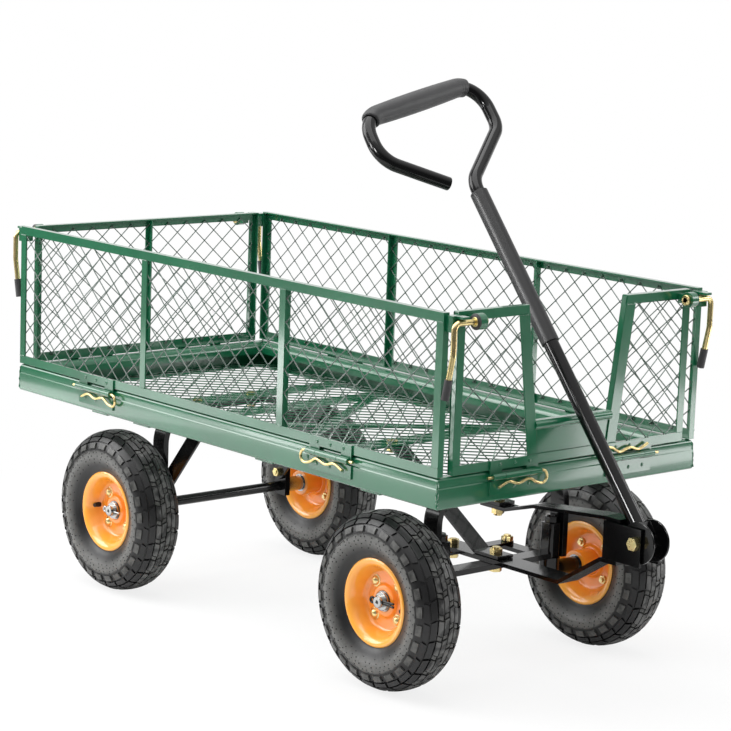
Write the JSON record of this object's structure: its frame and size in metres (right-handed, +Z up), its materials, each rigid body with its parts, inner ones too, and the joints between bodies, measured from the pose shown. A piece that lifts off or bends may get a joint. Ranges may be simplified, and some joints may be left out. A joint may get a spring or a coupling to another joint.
{
  "type": "hand cart",
  "caption": "Four-wheel garden hand cart: steel bed with folding mesh sides, corner latches, steered front axle with tie bar, pneumatic wheels and a tilting pull handle with a bent loop grip.",
  "frame": {"origin": "on the ground under the middle of the whole cart's box", "axes": "+X forward towards the handle's pivot, +Y to the cart's left, +Z up"},
  "size_m": [1.204, 0.5234, 0.8305],
  "materials": {
    "green_paint": "gloss",
    "black_paint": "satin",
    "orange_paint": "gloss",
    "yellow_zinc": "satin",
    "zinc_steel": "satin",
    "tyre_rubber": "matte",
    "black_vinyl": "satin",
    "sleeve_plastic": "matte",
    "grip_foam": "matte"
  },
  "bodies": {
    "chassis": {"tray_rim": "green_paint", "tray_floor": "green_paint", "floor_braces": "green_paint", "tray_hinge_leaves": "green_paint", "hinge_clips": "yellow_zinc", "front_panel_frame": "green_paint", "front_panel_mesh": "green_paint", "front_panel_fittings": "green_paint", "front_plate": "green_paint", "rear_bridge": "black_paint", "rear_axle": "black_paint", "rear_axle_pins": "zinc_steel", "rear_braces": "black_paint", "front_bridge": "black_paint", "kingpin_housings": "black_paint", "front_beam": "black_paint", "front_brace": "black_paint", "upper_pivot_bracket": "black_paint", "chassis_bolts": "yellow_zinc"},
    "side_right": {"right_panel_frame": "green_paint", "right_panel_mesh": "green_paint", "right_panel_fittings": "green_paint"},
    "side_left": {"left_panel_frame": "green_paint", "left_panel_mesh": "green_paint", "left_panel_fittings": "green_paint"},
    "tailgate": {"rear_panel_frame": "green_paint", "rear_panel_mesh": "green_paint", "rear_panel_fittings": "green_paint"},
    "latch_front_right": {"latch_rod_front_right": "yellow_zinc", "latch_tip_front_right": "black_vinyl"},
    "latch_front_left": {"latch_rod_front_left": "yellow_zinc", "latch_tip_front_left": "black_vinyl"},
    "latch_rear_right": {"latch_rod_rear_right": "yellow_zinc", "latch_tip_rear_right": "black_vinyl"},
    "latch_rear_left": {"latch_rod_rear_left": "yellow_zinc", "latch_tip_rear_left": "black_vinyl"},
    "tongue": {"tongue_bars": "black_paint", "tongue_clevis": "black_paint", "tongue_bolts": "yellow_zinc"},
    "tie_bar": {"tie_bar": "black_paint"},
    "knuckle_left": {"knuckle_left": "black_paint"},
    "knuckle_right": {"knuckle_right": "black_paint"},
    "wheel_front_left": {"tyre_front_left": "tyre_rubber", "rim_front_left": "orange_paint", "hub_front_left": "zinc_steel"},
    "wheel_front_right": {"tyre_front_right": "tyre_rubber", "rim_front_right": "orange_paint", "hub_front_right": "zinc_steel"},
    "wheel_rear_left": {"tyre_rear_left": "tyre_rubber", "rim_rear_left": "orange_paint", "hub_rear_left": "zinc_steel"},
    "wheel_rear_right": {"tyre_rear_right": "tyre_rubber", "rim_rear_right": "orange_paint", "hub_rear_right": "zinc_steel"},
    "handle": {"handle_shaft": "black_paint", "handle_sleeve": "sleeve_plastic", "handle_loop": "black_paint", "handle_grip": "grip_foam"}
  },
  "joints": [
    {"name": "steer", "type": "hinge", "parent": "chassis", "child": "tongue", "pos_m": [0.286, 0, 0.1965], "axis": [0, 0, 1], "range_deg": [-20, 20]},
    {"name": "knuckle_left_turn", "type": "hinge", "parent": "chassis", "child": "knuckle_left", "pos_m": [0.286, 0.109, 0.1715], "axis": [0, 0, 1], "range_deg": [-20, 20]},
    {"name": "knuckle_right_turn", "type": "hinge", "parent": "chassis", "child": "knuckle_right", "pos_m": [0.286, -0.109, 0.1715], "axis": [0, 0, 1], "range_deg": [-20, 20]},
    {"name": "tie_bar_turn", "type": "hinge", "parent": "tongue", "child": "tie_bar", "pos_m": [0.196, 0, 0.1485], "axis": [0, 0, 1], "range_deg": [-20, 20]},
    {"name": "handle_tilt", "type": "hinge", "parent": "tongue", "child": "handle", "pos_m": [0.573, 0, 0.2425], "axis": [0, 1, 0], "range_deg": [0, 140]},
    {"name": "wheel_front_left_spin", "type": "hinge", "parent": "knuckle_left", "child": "wheel_front_left", "pos_m": [0.286, 0.203, 0.1265], "axis": [0, 1, 0], "continuous": true},
    {"name": "wheel_front_right_spin", "type": "hinge", "parent": "knuckle_right", "child": "wheel_front_right", "pos_m": [0.286, -0.203, 0.1265], "axis": [0, 1, 0], "continuous": true},
    {"name": "wheel_rear_left_spin", "type": "hinge", "parent": "chassis", "child": "wheel_rear_left", "pos_m": [-0.356, 0.203, 0.1265], "axis": [0, 1, 0], "continuous": true},
    {"name": "wheel_rear_right_spin", "type": "hinge", "parent": "chassis", "child": "wheel_rear_right", "pos_m": [-0.356, -0.203, 0.1265], "axis": [0, 1, 0], "continuous": true},
    {"name": "side_right_fold", "type": "hinge", "parent": "chassis", "child": "side_right", "pos_m": [-0.073, -0.257, 0.3225], "axis": [1, 0, 0], "range_deg": [0, 170]},
    {"name": "side_left_fold", "type": "hinge", "parent": "chassis", "child": "side_left", "pos_m": [-0.073, 0.257, 0.3225], "axis": [-1, 0, 0], "range_deg": [0, 170]},
    {"name": "tailgate_fold", "type": "hinge", "parent": "chassis", "child": "tailgate", "pos_m": [-0.58, 0, 0.3225], "axis": [0, -1, 0], "range_deg": [0, 170]},
    {"name": "latch_front_right_swing", "type": "hinge", "parent": "chassis", "child": "latch_front_right", "pos_m": [0.445, -0.22, 0.5395], "axis": [0, -1, 0], "range_deg": [0, 170]},
    {"name": "latch_front_left_swing", "type": "hinge", "parent": "chassis", "child": "latch_front_left", "pos_m": [0.445, 0.22, 0.5395], "axis": [0, -1, 0], "range_deg": [0, 170]},
    {"name": "latch_rear_right_swing", "type": "hinge", "parent": "tailgate", "child": "latch_rear_right", "pos_m": [-0.591, -0.22, 0.5395], "axis": [0, 1, 0], "range_deg": [0, 170]},
    {"name": "latch_rear_left_swing", "type": "hinge", "parent": "tailgate", "child": "latch_rear_left", "pos_m": [-0.591, 0.22, 0.5395], "axis": [0, 1, 0], "range_deg": [0, 170]}
  ],
  "couplings": [
    {"joint": "knuckle_left_turn", "follows": "steer", "ratio": 1},
    {"joint": "knuckle_right_turn", "follows": "steer", "ratio": 1},
    {"joint": "tie_bar_turn", "follows": "steer", "ratio": -1}
  ]
}
